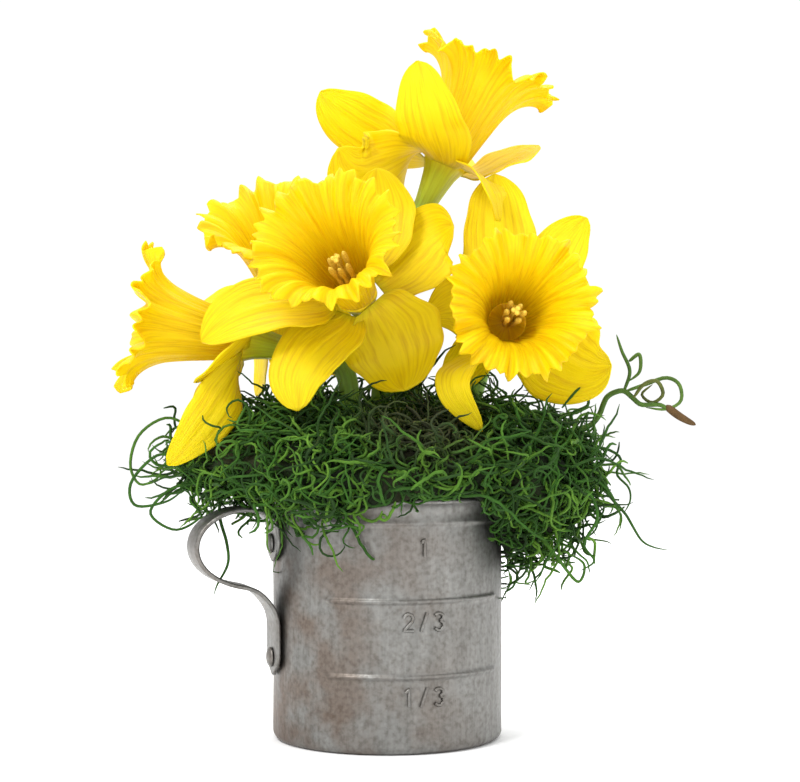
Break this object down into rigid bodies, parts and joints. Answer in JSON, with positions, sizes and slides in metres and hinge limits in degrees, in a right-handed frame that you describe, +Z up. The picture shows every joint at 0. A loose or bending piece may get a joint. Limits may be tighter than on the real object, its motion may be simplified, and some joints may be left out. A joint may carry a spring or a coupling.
{
  "type": "daffodil arrangement in a metal measuring cup",
  "caption": "Yellow trumpet daffodils in a metal measuring cup with a strap handle, with curly green moss over the rim.",
  "frame": {"origin": "middle of the underside of the cup, on the surface it stands on", "axes": "+Z up; the cup's handle points to -X and its measuring lines face -Y"},
  "size_m": [0.1663, 0.1169, 0.2149],
  "materials": {
    "cup_metal": "aged and dull, brushed upright, with a brown patina",
    "handle_metal": "aged, brushed along the strap",
    "rivet_metal": "aged, dark round the heads",
    "foam": "open-cell floral foam",
    "moss": "curly dyed moss, dark inside and lighter outside",
    "moss_sprig": "dried curled sprig, brown at its tip",
    "stem": "smooth, waxy and ribbed lengthwise",
    "flower_tube": "green at the seed case, fading to yellow",
    "trumpet": "thin frilled petal tissue, deeper yellow at the lip",
    "petal": "thin veined petal tissue that lets light through",
    "stamens": "powdery pollen on pale threads"
  },
  "bodies": {
    "root": {"cup_shell": "cup_metal", "cup_handle": "handle_metal", "rivet_upper": "rivet_metal", "rivet_lower": "rivet_metal", "foam_block": "foam", "moss_mound": "moss", "moss_sprig": "moss_sprig", "moss_strand": "moss", "top_bloom_stem": "stem", "top_bloom_tube": "flower_tube", "top_bloom_trumpet": "trumpet", "top_bloom_stamens": "stamens", "top_bloom_petal_1": "petal", "top_bloom_petal_2": "petal", "top_bloom_petal_3": "petal", "top_bloom_petal_4": "petal", "top_bloom_petal_5": "petal", "top_bloom_petal_6": "petal", "front_bloom_stem": "stem", "front_bloom_tube": "flower_tube", "front_bloom_trumpet": "trumpet", "front_bloom_stamens": "stamens", "front_bloom_petal_1": "petal", "front_bloom_petal_2": "petal", "front_bloom_petal_3": "petal", "front_bloom_petal_4": "petal", "front_bloom_petal_5": "petal", "front_bloom_petal_6": "petal", "back_bloom_stem": "stem", "back_bloom_tube": "flower_tube", "back_bloom_trumpet": "trumpet", "back_bloom_stamens": "stamens", "back_bloom_petal_1": "petal", "back_bloom_petal_2": "petal", "back_bloom_petal_3": "petal", "back_bloom_petal_4": "petal", "back_bloom_petal_5": "petal", "back_bloom_petal_6": "petal", "left_bloom_stem": "stem", "left_bloom_tube": "flower_tube", "left_bloom_trumpet": "trumpet", "left_bloom_stamens": "stamens", "left_bloom_petal_1": "petal", "left_bloom_petal_2": "petal", "left_bloom_petal_3": "petal", "left_bloom_petal_4": "petal", "left_bloom_petal_5": "petal", "left_bloom_petal_6": "petal", "right_bloom_stem": "stem", "right_bloom_tube": "flower_tube", "right_bloom_trumpet": "trumpet", "right_bloom_stamens": "stamens", "right_bloom_petal_1": "petal", "right_bloom_petal_2": "petal", "right_bloom_petal_3": "petal", "right_bloom_petal_4": "petal", "right_bloom_petal_5": "petal", "right_bloom_petal_6": "petal"}
  },
  "joints": []
}
